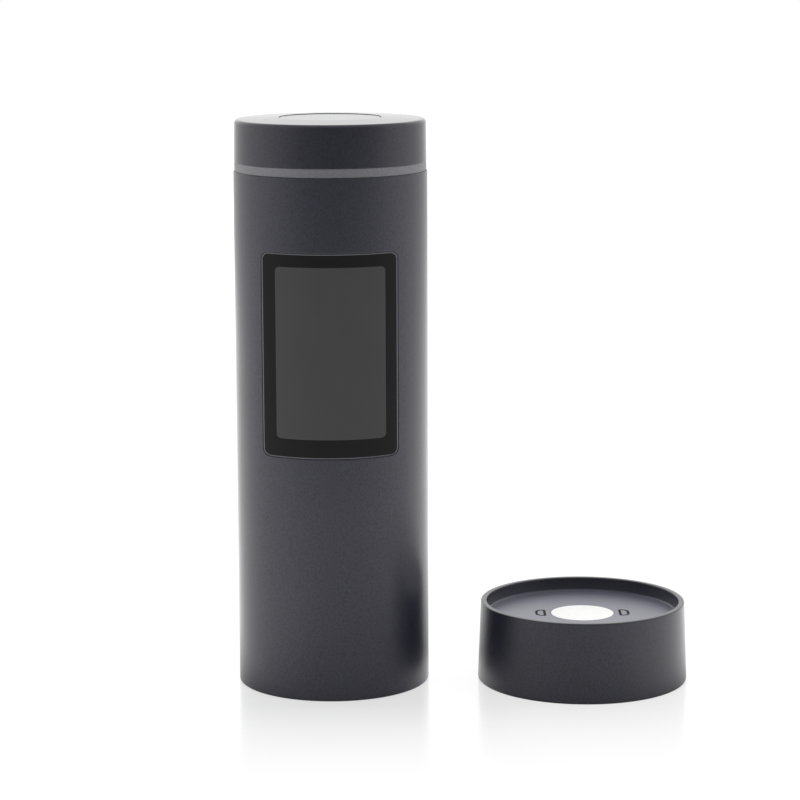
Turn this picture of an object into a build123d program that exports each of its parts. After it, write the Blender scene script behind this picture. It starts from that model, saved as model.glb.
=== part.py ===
from build123d import *
import math
import os

# Hand-held color difference meter, a round metal barrel that stands on its measuring end, with its
# calibration cap taken off and standing beside it. Millimetres, +Z up, display towards -Y.
# The origin is the middle of the meter's foot, on the surface that it stands on.

# Barrel
barrel_radius = 17.0
barrel_wall = 2.0
barrel_height = 91.5
barrel_edge_round = 0.4
inner_gap = 0.1
bore_radius = barrel_radius - barrel_wall
core_radius = bore_radius - inner_gap

# Display window and the stepped pocket that it lies in
window_side_border = 2.25
window_end_border = 2.85
window_middle_z = 60.85
window_corner = 1.3
window_thickness = 1.2
window_gap = 0.06
window_bevel = 0.2
gasket_thickness = 0.15
ledge_width = 1.4

# Display behind the window
view_width = 18.9
view_height = 29.8
view_middle_z = 61.35
panel_margin = 1.2
panel_thickness = 1.6
cushion_thickness = 1.0
panel_gap = 0.1

# Trim ring and top cap
ring_height = 1.6
ring_radius = 16.82
cap_top_height = 7.4
top_cap_radius = 16.86
top_cap_draft = 0.1
top_cap_round = 0.6
top_cap_rise = 0.3
top_plate = 1.9
spigot_depth = 3.0
spigot_wall = 1.5
boss_radius = 1.5
boss_circle = 11.6

# Measure button and its switch
button_radius = 8.8
button_gap = 0.14
button_bevel = 0.06
button_recess = 0.09
button_travel = 0.5
button_flange = 1.1
button_flange_height = 1.0
button_stop_gap = 0.05
nub_radius = 1.6
nub_height = 1.2
plunger_radius = 1.2
plunger_fit = 0.06
plunger_length = 1.9
switch_width = 6.0
switch_height = 2.4
switch_bottom = 0.55
board_thickness = 1.0
membrane_wall = 0.6
membrane_foot = 0.9
membrane_lean = 1.2

# Head frame and chassis
head_disc = 1.6
hub_radius = 9.8
hub_height = 4.6
cable_hole = 5.0
chassis_disc = 2.0
chassis_bottom_z = 26.0
spine_thickness = 1.6
rail_depth = 3.0
rail_width = 3.2
leg_width = 6.0
leg_gap = 0.2

# Electronics
battery_to_board = 4.2
main_board_thickness = 1.2
main_board_margin = 0.8
battery_width = 20.0
battery_depth = 7.8
battery_height = 40.0
battery_head_room = 3.15
battery_round = 2.0
tape_thickness = 0.6
socket_width = 8.94
socket_height = 3.26
socket_wall = 0.3
socket_middle_z = 36.0
socket_recess = 0.25
socket_gap = 0.15
tongue_width = 6.7
tongue_height = 0.7
processor_size = 7.0
memory_size = 5.0
charger_size = 4.0
connector_width = 9.0
connector_depth = 3.5
chip_height = 0.9
connector_height = 1.6
chip_pitch = 11.0

# Measuring end
base_thickness = 2.4
base_flange = 1.6
base_flange_step = 0.4
port_radius = 4.0
insert_wall = 1.2
insert_flange = 2.2
insert_lip = 1.0
sphere_radius = 8.5
sphere_wall = 2.9
sphere_floor = 1.0
sphere_roof = 2.4
viewing_angle = 8.0
viewing_radius = 1.8
lamp_port_radius = 1.6
lamp_circle = 6.6
lamp_count = 4
lamp_turn = 45.0
lamp_size = 1.7
lamp_height = 0.8
tube_wall = 1.2
tube_fit = 0.05
tube_length = 9.0
lens_thickness = 1.2
sensor_board_size = 8.0
sensor_size = 2.2
sensor_height = 0.8
magnet_radius = 1.5
magnet_height = 1.2
magnet_fit = 0.04
magnet_circle = 9.6
magnet_count = 3
magnet_turn = 30.0

# Screws
screw_radius = 0.8
screw_head_radius = 1.4
screw_head_height = 1.0
screw_fit = 0.02
screw_clear = 0.1
screw_grip = 3.4
screw_slot = 0.45
base_screw_circle = 13.05
screw_count = 3
screw_turn = 90.0

# Calibration cap, standing beside the meter with its recess up
cap_x = 44.6
cap_y = -0.9
cap_foot_radius = 18.74
cap_rim_radius = 18.2
cap_height = 14.3
cap_recess_radius = 17.14
cap_recess_depth = 2.45
cap_floor = 1.8
cap_wall = 1.5
cap_foot_round = 0.4
cap_rim_round = 0.25
cap_recess_round = 0.35
tile_radius = 5.62
tile_fit = 0.05
tile_step = 1.4
tile_body = 3.0
retainer_wall = 1.3
retainer_floor = 1.2
retainer_ear_circle = 10.0
retainer_ear_radius = 2.2
retainer_ear_height = 1.5
cap_base_thickness = 2.0
cap_base_gap = 0.1
cap_boss_circle = 13.8
cap_boss_radius = 2.0
cap_boss_turn = 30.0
mark_offset = 7.5
mark_height = 4.4
mark_width = 1.9
mark_round = 1.4
mark_line = 0.45
mark_depth = 0.15

# Levels worked out from the sizes above
ring_top_z = barrel_height + ring_height
top_z = ring_top_z + cap_top_height
mouth_z = top_z + top_cap_rise
button_top_z = mouth_z - button_recess
plate_under_z = top_z - top_plate
flange_top_z = plate_under_z - button_stop_gap
flange_under_z = flange_top_z - button_flange_height
nub_under_z = flange_under_z - nub_height
plunger_under_z = nub_under_z - plunger_length
switch_top_z = nub_under_z - button_travel - 2 * button_stop_gap
button_board_top_z = switch_top_z - switch_height
button_board_under_z = button_board_top_z - board_thickness
head_disc_under_z = button_board_under_z - head_disc
hub_under_z = head_disc_under_z - hub_height
chassis_top_z = hub_under_z - chassis_disc
chassis_floor_z = chassis_bottom_z + chassis_disc
battery_bottom_z = chassis_top_z - screw_head_height - battery_head_room - battery_height
window_width = view_width + 2 * window_side_border
window_height = view_height + 2 * window_end_border
panel_width = view_width + 2 * panel_margin
panel_height = view_height + 2 * panel_margin
panel_face_y = -math.sqrt(core_radius ** 2 - (panel_width / 2) ** 2)
spine_front_y = panel_face_y + panel_thickness + cushion_thickness
spine_back_y = spine_front_y + spine_thickness
battery_front_y = spine_back_y + tape_thickness
main_board_front_y = battery_front_y + battery_depth + battery_to_board
main_board_back_y = main_board_front_y + main_board_thickness
main_board_half = math.sqrt(core_radius ** 2 - main_board_back_y ** 2) - main_board_margin
rail_inner_x = main_board_half - rail_width
sphere_outer_radius = sphere_radius + sphere_wall
sphere_middle_z = base_thickness + sphere_floor + sphere_radius
sphere_top_z = sphere_middle_z + sphere_radius + sphere_roof
lamp_board_top_z = sphere_top_z + board_thickness
spigot_radius = core_radius
cap_floor_z = cap_height - cap_recess_depth
cap_under_z = cap_floor_z - cap_floor


def post(radius, low, high, x=0.0, y=0.0):
    """Upright round bar from one level to another."""
    return Pos(x, y, (low + high) / 2) * Cylinder(radius, high - low)


def block(x_range, y_range, z_range):
    """Box given by its limits on each axis."""
    spans = [high - low for low, high in (x_range, y_range, z_range)]
    middle = [(high + low) / 2 for low, high in (x_range, y_range, z_range)]
    return Pos(*middle) * Box(*spans)


def turned(profile, rounds=()):
    """Body of revolution about Z from (radius, height) points, with chosen corners rounded."""
    section = make_face(Plane.XZ * Polyline(*profile, close=True))
    for (radius, height), size in rounds:
        corner = min(section.vertices(), key=lambda v: math.hypot(v.X - radius, v.Z - height))
        section = fillet(corner, size)
    return revolve(section, Axis.Z)


def carried(width, height, corner, middle_z, y_range):
    """Upright rounded rectangle carried along Y."""
    outline = Pos(0, middle_z) * RectangleRounded(width, height, corner)
    return extrude(Plane.XZ.offset(-y_range[0]) * outline, y_range[1] - y_range[0], dir=(0, 1, 0))


def carried_slot(width, height, middle_z, y_range):
    """Level slot with round ends carried along Y."""
    outline = Pos(0, middle_z) * SlotOverall(width, height)
    return extrude(Plane.XZ.offset(-y_range[0]) * outline, y_range[1] - y_range[0], dir=(0, 1, 0))


def on_circle(radius, count, first=0.0):
    """Places on a circle, the first at the given angle in degrees from +X."""
    angles = [math.radians(first + 360.0 * index / count) for index in range(count)]
    return [(radius * math.cos(angle), radius * math.sin(angle)) for angle in angles]


def lamp_places():
    """Lamps over the integrating sphere."""
    return on_circle(lamp_circle, lamp_count, lamp_turn)


def boss_places():
    """Screw bosses of the top cap."""
    return on_circle(boss_circle, screw_count, screw_turn)


def base_screw_places():
    """Screws of the end plate, each under a leg of the chassis."""
    return on_circle(base_screw_circle, screw_count, screw_turn)


def magnet_places():
    """Magnets, at the same places in the end plate and in the cap."""
    return on_circle(magnet_circle, magnet_count, magnet_turn)


def cap_boss_places():
    """Screw bosses of the calibration cap."""
    return on_circle(cap_boss_circle, screw_count, cap_boss_turn)


def ear_places():
    """Ears of the tile's retainer."""
    return on_circle(retainer_ear_circle, screw_count, screw_turn)


def screw(length):
    """Pan-head screw with a slotted head, its head's underside at z = 0 and its shank upwards."""
    head = turned(
        [(0, -screw_head_height), (screw_head_radius, -screw_head_height), (screw_head_radius, 0),
         (screw_radius, 0), (screw_radius, length - screw_radius / 2), (screw_radius / 2, length),
         (0, length)],
        [((screw_head_radius, -screw_head_height), screw_head_height / 3)],
    )
    slot_depth = screw_head_height / 2
    slot_z = slot_depth / 2 - screw_head_height
    return head - Pos(0, 0, slot_z) * Box(3 * screw_head_radius, screw_slot, slot_depth)


def group(solids):
    """Separate solids that share one node."""
    return Compound(children=list(solids))


def build_barrel():
    """Drawn tube with the window's stepped pocket in front and the socket's slot behind."""
    tube = turned(
        [(bore_radius, 0), (barrel_radius, 0), (barrel_radius, barrel_height),
         (bore_radius, barrel_height)],
        [((barrel_radius, 0), barrel_edge_round), ((barrel_radius, barrel_height), barrel_edge_round / 4)],
    )
    tube -= post(bore_radius + base_flange_step, 0, base_flange)
    mouth_width = window_width + 2 * window_gap
    mouth_height = window_height + 2 * window_gap
    mouth = carried(
        mouth_width, mouth_height, window_corner + window_gap, window_middle_z, (-2 * barrel_radius, 0))
    seat_radius = barrel_radius - window_thickness - gasket_thickness
    tube -= mouth - post(seat_radius, 0, barrel_height)
    throat = carried(
        window_width - 2 * ledge_width, window_height - 2 * ledge_width, window_corner,
        window_middle_z, (-2 * barrel_radius, 0))
    tube -= throat
    slot_width = socket_width + 2 * socket_gap
    slot_height = socket_height + 2 * socket_gap
    return tube - carried_slot(slot_width, slot_height, socket_middle_z, (0, 2 * barrel_radius))


def build_display_window():
    """Curved pane, flush with the barrel, with a fine bevel round its outer face."""
    pane = carried(window_width, window_height, window_corner, window_middle_z, (-2 * barrel_radius, 0))
    shell = post(barrel_radius, 0, barrel_height) - post(barrel_radius - window_thickness, 0, barrel_height)
    pane = (pane & shell).solid()
    outer = pane.faces().sort_by(lambda face: abs(face.center().Y))[-1]
    return chamfer(outer.edges(), window_bevel)


def build_window_gasket():
    """Foam frame between the pane and the ledge of its pocket."""
    outer = carried(window_width, window_height, window_corner, window_middle_z, (-2 * barrel_radius, 0))
    inner = carried(
        window_width - 2 * ledge_width, window_height - 2 * ledge_width, window_corner,
        window_middle_z, (-2 * barrel_radius, 0))
    outside = barrel_radius - window_thickness
    shell = post(outside, 0, barrel_height) - post(outside - gasket_thickness, 0, barrel_height)
    return (outer - inner) & shell


def carrier_screw_places():
    """Height of the display carrier's screws, above and below the panel."""
    reach = panel_height / 2 + panel_margin + 2 * screw_radius
    across = panel_width / 2 - 2 * screw_radius
    return [(x, view_middle_z + z) for x in (-across, across) for z in (-reach, reach)]


def build_display_carrier():
    """Black frame that fills the tube's front, with a mask round the view and a pocket for the panel."""
    height = panel_height + 2 * panel_margin + 8 * screw_radius
    width = panel_width + 2 * panel_margin
    frame = carried(width, height, panel_margin, view_middle_z, (-core_radius, spine_front_y))
    frame &= post(core_radius, 0, barrel_height)
    frame -= carried(
        view_width, view_height, panel_margin / 2, view_middle_z, (-core_radius, spine_front_y))
    pocket_width = panel_width + 2 * panel_gap
    pocket_height = panel_height + 2 * panel_gap
    frame -= carried(pocket_width, pocket_height, panel_gap, view_middle_z, (panel_face_y, spine_front_y))
    for x, z in carrier_screw_places():
        hole = Pos(x, spine_front_y, z) * Rot(X=90) * Cylinder(
            screw_radius + screw_fit, screw_grip - (spine_thickness - screw_head_height) + screw_fit,
            align=(Align.CENTER, Align.CENTER, Align.MIN))
        frame -= hole
    return frame


def build_display_panel():
    """Flat display module, glass over its frame, as one sandwich."""
    back = panel_face_y + panel_thickness
    return carried(panel_width, panel_height, panel_gap, view_middle_z, (panel_face_y, back))


def build_display_cushion():
    """Foam pad that presses the panel into its pocket."""
    back = panel_face_y + panel_thickness
    width = panel_width - 2 * panel_margin
    height = panel_height - 2 * panel_margin
    return carried(width, height, panel_margin, view_middle_z, (back, back + cushion_thickness))


def build_carrier_screws():
    """Screws from the spine's back into the display carrier."""
    seat = spine_back_y - screw_head_height
    return group(Pos(x, seat, z) * Rot(X=90) * screw(screw_grip) for x, z in carrier_screw_places())


def build_trim_ring():
    """Bare metal ring that shows as a line between the barrel and the top cap."""
    inner = spigot_radius + inner_gap / 2
    edge = (barrel_radius - ring_radius) / 2
    return turned(
        [(inner, barrel_height), (ring_radius, barrel_height), (ring_radius, ring_top_z),
         (inner, ring_top_z)],
        [((ring_radius, barrel_height), edge), ((ring_radius, ring_top_z), edge)],
    )


def build_top_cap():
    """Moulded cap, slightly crowned up to the button's round mouth, with a spigot into the tube and
    three screw bosses."""
    inner = spigot_radius - spigot_wall
    mouth = button_radius + button_gap
    top_radius = top_cap_radius - top_cap_draft
    cap = turned(
        [(inner, barrel_height - spigot_depth), (spigot_radius, barrel_height - spigot_depth),
         (spigot_radius, ring_top_z), (top_cap_radius, ring_top_z), (top_radius, top_z),
         (mouth, mouth_z), (mouth, plate_under_z), (inner, plate_under_z)],
        [((top_radius, top_z), top_cap_round), ((mouth, mouth_z), button_bevel)],
    )
    for x, y in boss_places():
        cap += post(boss_radius, button_board_top_z, plate_under_z, x, y)
    for x, y in boss_places():
        cap -= post(screw_radius + screw_fit, button_board_top_z, plate_under_z - board_thickness, x, y)
    return cap


def build_measure_button():
    """Round key, a little below its mouth, with a flange that stops it under the cap and a nub that
    meets the switch."""
    shell_wall = button_flange_height
    rim = button_radius + button_flange
    return turned(
        [(0, nub_under_z), (nub_radius, nub_under_z), (nub_radius, flange_under_z), (rim, flange_under_z),
         (rim, flange_top_z), (button_radius, flange_top_z), (button_radius, button_top_z),
         (0, button_top_z)],
        [((nub_radius, nub_under_z), shell_wall / 4), ((button_radius, button_top_z), button_bevel)],
    )


def build_switch_plunger():
    """Stem of the switch, which the button's nub rests on."""
    return post(plunger_radius, plunger_under_z, nub_under_z)


def build_tact_switch():
    """Square switch housing with a well for its stem and soldered feet."""
    half = switch_width / 2
    housing = block((-half, half), (-half, half), (button_board_top_z, switch_top_z))
    housing -= post(plunger_radius + plunger_fit, button_board_top_z + switch_bottom, switch_top_z)
    return chamfer(housing.edges().filter_by(Axis.Z), switch_width / 12)


def build_return_membrane():
    """Moulded silicone cone that lifts the button again."""
    foot = button_radius - membrane_foot
    top = foot - membrane_lean
    return turned(
        [(foot - membrane_foot, button_board_top_z), (foot, button_board_top_z),
         (foot, button_board_top_z + membrane_wall), (top, flange_under_z),
         (top - membrane_wall, flange_under_z),
         (foot - membrane_foot, button_board_top_z + membrane_wall)],
    )


def build_button_board():
    """Round circuit board under the button, with holes for the head screws."""
    board = post(spigot_radius - spigot_wall - inner_gap, button_board_under_z, button_board_top_z)
    for x, y in boss_places():
        board -= post(screw_radius + screw_clear, button_board_under_z, button_board_top_z, x, y)
    return board


def hub_screw_places():
    """Two screws that join the chassis to the head frame."""
    return on_circle((hub_radius + cable_hole) / 2, 2)


def build_head_frame():
    """Disc that clamps the board to the cap, with a hub down to the chassis."""
    outer = spigot_radius - spigot_wall - inner_gap
    frame = turned(
        [(cable_hole, hub_under_z), (hub_radius, hub_under_z), (hub_radius, head_disc_under_z),
         (outer, head_disc_under_z), (outer, button_board_under_z), (cable_hole, button_board_under_z)],
    )
    for x, y in boss_places():
        frame -= post(screw_radius + screw_clear, head_disc_under_z, button_board_under_z, x, y)
    for x, y in hub_screw_places():
        frame -= post(screw_radius + screw_fit, hub_under_z, hub_under_z + screw_grip, x, y)
    return frame


def build_head_screws():
    """Screws up through the head frame and the board into the cap's bosses."""
    length = head_disc + board_thickness + screw_grip - board_thickness / 2
    return group(Pos(x, y, head_disc_under_z) * screw(length) for x, y in boss_places())


def build_hub_screws():
    """Screws up through the chassis's top disc into the head frame's hub."""
    length = chassis_disc + screw_grip - 2 * screw_fit
    return group(Pos(x, y, chassis_top_z) * screw(length) for x, y in hub_screw_places())


def board_screw_places():
    """Four screws that hold the main board on the chassis's rails."""
    across = main_board_half - screw_head_radius
    low = chassis_floor_z + rail_width
    high = chassis_top_z - rail_width
    return [(x, z) for x in (-across, across) for z in (low, high)]


def build_chassis():
    """Moulded inner frame, with end discs, a spine behind the display, two rails and three legs."""
    frame = post(core_radius, chassis_bottom_z, chassis_floor_z)
    frame += post(core_radius, chassis_top_z, hub_under_z)
    spine_half = math.sqrt(core_radius ** 2 - spine_front_y ** 2)
    spine_y = (spine_front_y, spine_back_y)
    frame += block((-spine_half, spine_half), spine_y, (chassis_floor_z, chassis_top_z))
    rail_y = (main_board_front_y - rail_depth, main_board_front_y)
    for side in (-1, 1):
        rail_x = sorted((side * rail_inner_x, side * (rail_inner_x + rail_width)))
        frame += block(rail_x, rail_y, (chassis_floor_z, chassis_top_z))
    leg_inner = sphere_outer_radius + leg_gap
    for x, y in base_screw_places():
        turn = math.degrees(math.atan2(y, x))
        span = (leg_inner, core_radius)
        leg = block(span, (-leg_width / 2, leg_width / 2), (base_thickness, chassis_bottom_z))
        frame += Rot(Z=turn) * leg
    frame &= post(core_radius, 0, hub_under_z)
    frame -= post(leg_inner, 0, lamp_board_top_z)
    frame -= post(cable_hole, chassis_top_z, hub_under_z)
    frame -= post(sensor_board_size, chassis_bottom_z, chassis_floor_z)
    for x, y in base_screw_places():
        frame -= post(screw_radius + screw_fit, base_thickness, base_thickness + screw_grip, x, y)
    for x, y in hub_screw_places():
        frame -= post(screw_radius + screw_clear, chassis_top_z, hub_under_z, x, y)
    for x, z in board_screw_places():
        hole = Pos(x, main_board_front_y, z) * Rot(X=90) * Cylinder(
            screw_radius + screw_fit, rail_depth, align=(Align.CENTER, Align.CENTER, Align.MIN))
        frame -= hole
    for x, z in carrier_screw_places():
        hole = Pos(x, (spine_front_y + spine_back_y) / 2, z) * Rot(X=90) * Cylinder(
            screw_radius + screw_clear, spine_thickness)
        frame -= hole
        frame -= Pos(x, spine_back_y - screw_head_height / 2, z) * Rot(X=90) * Cylinder(
            screw_head_radius + screw_clear, screw_head_height)
    return frame


def build_main_board():
    """Main circuit board on the rails, with the charging socket on its back."""
    half = main_board_half
    y_range = (main_board_front_y, main_board_back_y)
    board = block((-half, half), y_range, (chassis_floor_z, chassis_top_z))
    for x, z in board_screw_places():
        middle = (main_board_front_y + main_board_back_y) / 2
        board -= Pos(x, middle, z) * Rot(X=90) * Cylinder(screw_radius + screw_clear, main_board_thickness)
    return board


def build_board_components():
    """Processor, memory, charger and two connectors on the board's inner face."""
    middle_z = (chassis_floor_z + chassis_top_z) / 2
    layout = [
        (0, 2, connector_width, connector_depth, connector_height),
        (0, 1, processor_size, processor_size, chip_height),
        (0, 0, memory_size, memory_size, chip_height),
        (-charger_size, -1, charger_size, charger_size, chip_height),
        (charger_size, -2, connector_width / 2, connector_depth, connector_height),
    ]
    chips = []
    for x, step, width, height, depth in layout:
        z = middle_z + step * chip_pitch
        y_range = (main_board_front_y - depth, main_board_front_y)
        chips.append(block((x - width / 2, x + width / 2), y_range, (z - height / 2, z + height / 2)))
    return group(chips)


def build_board_screws():
    """Screws through the main board into the rails."""
    length = main_board_thickness + rail_depth - screw_radius
    return group(Pos(x, main_board_back_y, z) * Rot(X=90) * screw(length) for x, z in board_screw_places())


def build_usb_socket():
    """Upright charging socket, an oval metal shell with its tongue, that ends at the barrel's wall."""
    mouth_y = math.sqrt(barrel_radius ** 2 - (socket_width / 2) ** 2) - socket_recess
    shell = carried_slot(socket_width, socket_height, socket_middle_z, (main_board_back_y, mouth_y))
    hollow_back = main_board_back_y + 2 * socket_wall
    hollow = carried_slot(
        socket_width - 2 * socket_wall, socket_height - 2 * socket_wall, socket_middle_z,
        (hollow_back, mouth_y))
    tongue = carried(
        tongue_width, tongue_height, tongue_height / 4, socket_middle_z,
        (main_board_back_y, mouth_y - 2 * socket_wall))
    return (shell - hollow) + tongue


def build_battery():
    """Lithium pouch cell with rounded long edges."""
    half = battery_width / 2
    top = battery_bottom_z + battery_height
    y_range = (battery_front_y, battery_front_y + battery_depth)
    cell = block((-half, half), y_range, (battery_bottom_z, top))
    return fillet(cell.edges().filter_by(Axis.Z), battery_round)


def build_battery_tape():
    """Double-sided foam tape that holds the battery on the spine."""
    half = battery_width / 2 - battery_round
    inset = battery_round
    z_range = (battery_bottom_z + inset, battery_bottom_z + battery_height - inset)
    return block((-half, half), (spine_back_y, battery_front_y), z_range)


def build_base_plate():
    """Metal end plate, flush in the tube, with a stepped mouth for the aperture and magnet pockets."""
    flange = bore_radius + base_flange_step - inner_gap
    collar = port_radius + insert_wall
    seat = collar + insert_flange
    plate = turned(
        [(collar + tube_fit, 0), (flange, 0), (flange, base_flange), (core_radius, base_flange),
         (core_radius, base_thickness), (seat + tube_fit, base_thickness),
         (seat + tube_fit, base_thickness - insert_lip), (collar + tube_fit, base_thickness - insert_lip)],
    )
    for x, y in base_screw_places():
        plate -= post(screw_radius + screw_clear, 0, base_thickness, x, y)
        plate -= post(screw_head_radius + screw_clear, 0, screw_head_height + 2 * screw_clear, x, y)
    for x, y in magnet_places():
        plate -= post(magnet_radius + magnet_fit, base_thickness - magnet_height, base_thickness, x, y)
    return plate


def build_base_magnets():
    """Magnets in the end plate that hold the calibration cap on."""
    low = base_thickness - magnet_height
    return group(post(magnet_radius, low, base_thickness, x, y) for x, y in magnet_places())


def build_base_screws():
    """Screws up through the end plate into the chassis's legs."""
    under = screw_head_height + 2 * screw_clear
    length = base_thickness - under + screw_grip - 2 * screw_fit
    return group(Pos(x, y, under) * screw(length) for x, y in base_screw_places())


def build_aperture_insert():
    """Ring with the measuring port, flared on its outer side."""
    collar = port_radius + insert_wall
    seat = collar + insert_flange
    lip_z = base_thickness - insert_lip
    flare = insert_wall / 3
    return turned(
        [(port_radius + flare, 0), (collar, 0), (collar, lip_z), (seat, lip_z), (seat, base_thickness),
         (port_radius, base_thickness), (port_radius, flare)],
    )


def sphere_cavity():
    """Ball-shaped cavity of the integrating sphere."""
    return Pos(0, 0, sphere_middle_z) * Sphere(sphere_radius)


def build_sphere_lower():
    """Lower half of the integrating sphere, open to the measuring port."""
    half = post(sphere_outer_radius, base_thickness, sphere_middle_z) - sphere_cavity()
    return half - post(port_radius, base_thickness, sphere_middle_z)


def viewing_bar(radius, start, end):
    """Round bar on the viewing axis, which leans sideways from the middle of the measuring port."""
    bar = Pos(0, 0, (start + end) / 2) * Cylinder(radius, end - start)
    return Rot(Y=viewing_angle) * bar


def tube_start():
    """Distance along the viewing axis at which the sensor tube is seated."""
    return sphere_top_z - sphere_roof / 2


def build_sphere_upper():
    """Upper half of the integrating sphere, with the leaning viewing port and the lamp ports."""
    half = post(sphere_outer_radius, sphere_middle_z, sphere_top_z) - sphere_cavity()
    half -= viewing_bar(viewing_radius, sphere_middle_z, 2 * sphere_top_z)
    half -= viewing_bar(viewing_radius + tube_wall + tube_fit, tube_start(), 2 * sphere_top_z)
    for x, y in lamp_places():
        half -= post(lamp_port_radius, sphere_middle_z, sphere_top_z, x, y)
    return half


def build_lamp_board():
    """Round board over the sphere that carries the lamps."""
    board = post(sphere_outer_radius, sphere_top_z, lamp_board_top_z)
    return board - viewing_bar(viewing_radius + tube_wall + 2 * tube_fit, sphere_middle_z, 2 * sphere_top_z)


def build_lamps():
    """Light-emitting diodes that look down the lamp ports."""
    half = lamp_size / 2
    chips = []
    z_range = (sphere_top_z - lamp_height, sphere_top_z)
    for x, y in lamp_places():
        chips.append(block((x - half, x + half), (y - half, y + half), z_range))
    return group(chips)


def build_sensor_tube():
    """Blackened tube on the viewing axis, which holds the lens and the sensor board."""
    outer = viewing_radius + tube_wall
    start = tube_start()
    end = start + tube_length
    tube = viewing_bar(outer, start, end) - viewing_bar(viewing_radius, start, end)
    seat = start + 2 * lens_thickness
    return tube - viewing_bar(viewing_radius + tube_wall / 2, seat, end)


def build_sensor_lens():
    """Small lens on the shoulder inside the sensor tube."""
    seat = tube_start() + 2 * lens_thickness
    radius = viewing_radius + tube_wall / 2 - tube_fit
    bulge = lens_thickness / 3
    crown = seat + lens_thickness
    curve = (radius ** 2 + bulge ** 2) / (2 * bulge)
    lens = post(radius, seat, crown) & Pos(0, 0, crown - curve) * Sphere(curve)
    return Rot(Y=viewing_angle) * lens


def build_sensor_board():
    """Small board square to the viewing axis, with the color sensor over the tube."""
    low = tube_start() + tube_length
    half = sensor_board_size / 2
    chip = sensor_size / 2
    board = block((-half, half), (-half, half), (low, low + board_thickness))
    board += block((-chip, chip), (-chip, chip), (low - sensor_height, low))
    return Rot(Y=viewing_angle) * board


def index_mark(side):
    """Fine groove beside the tile, an outline with its straight side to the tile and its outer
    corners rounded off."""
    def outline(shrink):
        inner = side * (mark_offset - mark_width / 2 + shrink)
        outer = side * (mark_offset + mark_width / 2 - shrink)
        half = mark_height / 2 - shrink
        face = make_face(Polyline((inner, -half), (inner, half), (outer, half), (outer, -half), close=True))
        corners = [corner for corner in face.vertices() if abs(corner.X - outer) < mark_line / 2]
        return fillet(corners, mark_round - shrink)
    mark = outline(0) - outline(mark_line)
    low = cap_floor_z - mark_depth
    return extrude(Pos(0, 0, low) * mark, 2 * mark_depth, dir=(0, 0, 1))


def build_cap_shell():
    """Cap body, turned with a slight taper, with a recess that fits over the meter's measuring end."""
    boss_top = cap_under_z
    foot_step = cap_foot_radius - cap_wall + cap_base_gap
    inner = cap_rim_radius - cap_wall
    shell = turned(
        [(foot_step, 0), (cap_foot_radius, 0), (cap_rim_radius, cap_height),
         (cap_recess_radius, cap_height), (cap_recess_radius, cap_floor_z),
         (tile_radius + tile_fit, cap_floor_z),
         (tile_radius + tile_fit, cap_under_z), (inner, cap_under_z), (inner, cap_base_thickness),
         (foot_step, cap_base_thickness)],
        [((cap_foot_radius, 0), cap_foot_round), ((cap_rim_radius, cap_height), cap_rim_round),
         ((cap_recess_radius, cap_height), cap_rim_round),
         ((cap_recess_radius, cap_floor_z), cap_recess_round)],
    )
    for x, y in cap_boss_places():
        shell += post(cap_boss_radius, cap_base_thickness, boss_top, x, y)
    for x, y in cap_boss_places():
        shell -= post(screw_radius + screw_fit, cap_base_thickness, cap_base_thickness + screw_grip, x, y)
    for x, y in magnet_places():
        shell -= post(magnet_radius + magnet_fit, cap_under_z, cap_under_z + magnet_height, x, y)
    for x, y in ear_places():
        shell -= post(screw_radius + screw_fit, cap_under_z, cap_under_z + cap_floor / 2, x, y)
    for side in (-1, 1):
        shell -= index_mark(side)
    return shell


def build_white_tile():
    """Fired white reference tile, stepped so that it comes up flush through the cap's floor."""
    seat = tile_radius + tile_step
    return turned(
        [(0, cap_under_z - tile_body), (seat, cap_under_z - tile_body), (seat, cap_under_z),
         (tile_radius, cap_under_z), (tile_radius, cap_floor_z), (0, cap_floor_z)],
        [((tile_radius, cap_floor_z), tile_fit)],
    )


def build_tile_retainer():
    """Moulded cup under the tile with three screwed ears."""
    inner = tile_radius + tile_step + tile_fit
    outer = inner + retainer_wall
    low = cap_under_z - tile_body - retainer_floor
    cup = turned([(0, low), (outer, low), (outer, cap_under_z), (0, cap_under_z)])
    for x, y in ear_places():
        cup += post(retainer_ear_radius, cap_under_z - retainer_ear_height, cap_under_z, x, y)
    cup -= post(inner, cap_under_z - tile_body, cap_under_z)
    for x, y in ear_places():
        cup -= post(screw_radius + screw_clear, low, cap_under_z, x, y)
    return cup


def build_retainer_screws():
    """Short screws through the ears into the cap's floor."""
    low = cap_under_z - retainer_ear_height
    length = retainer_ear_height + cap_floor / 2 - screw_fit
    return group(Pos(x, y, low) * screw(length) for x, y in ear_places())


def build_cap_magnets():
    """Magnets under the cap's floor, facing those in the meter's end plate."""
    high = cap_under_z + magnet_height
    return group(post(magnet_radius, cap_under_z, high, x, y) for x, y in magnet_places())


def build_cap_base():
    """Plate that closes the cap from below."""
    radius = cap_foot_radius - cap_wall
    plate = post(radius, 0, cap_base_thickness)
    for x, y in cap_boss_places():
        plate -= post(screw_radius + screw_clear, 0, cap_base_thickness, x, y)
        plate -= post(screw_head_radius + screw_clear, 0, screw_head_height + 2 * screw_clear, x, y)
    return plate


def build_cap_screws():
    """Screws up through the plate into the cap's bosses."""
    under = screw_head_height + 2 * screw_clear
    length = cap_base_thickness - under + screw_grip - 2 * screw_fit
    return group(Pos(x, y, under) * screw(length) for x, y in cap_boss_places())


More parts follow.
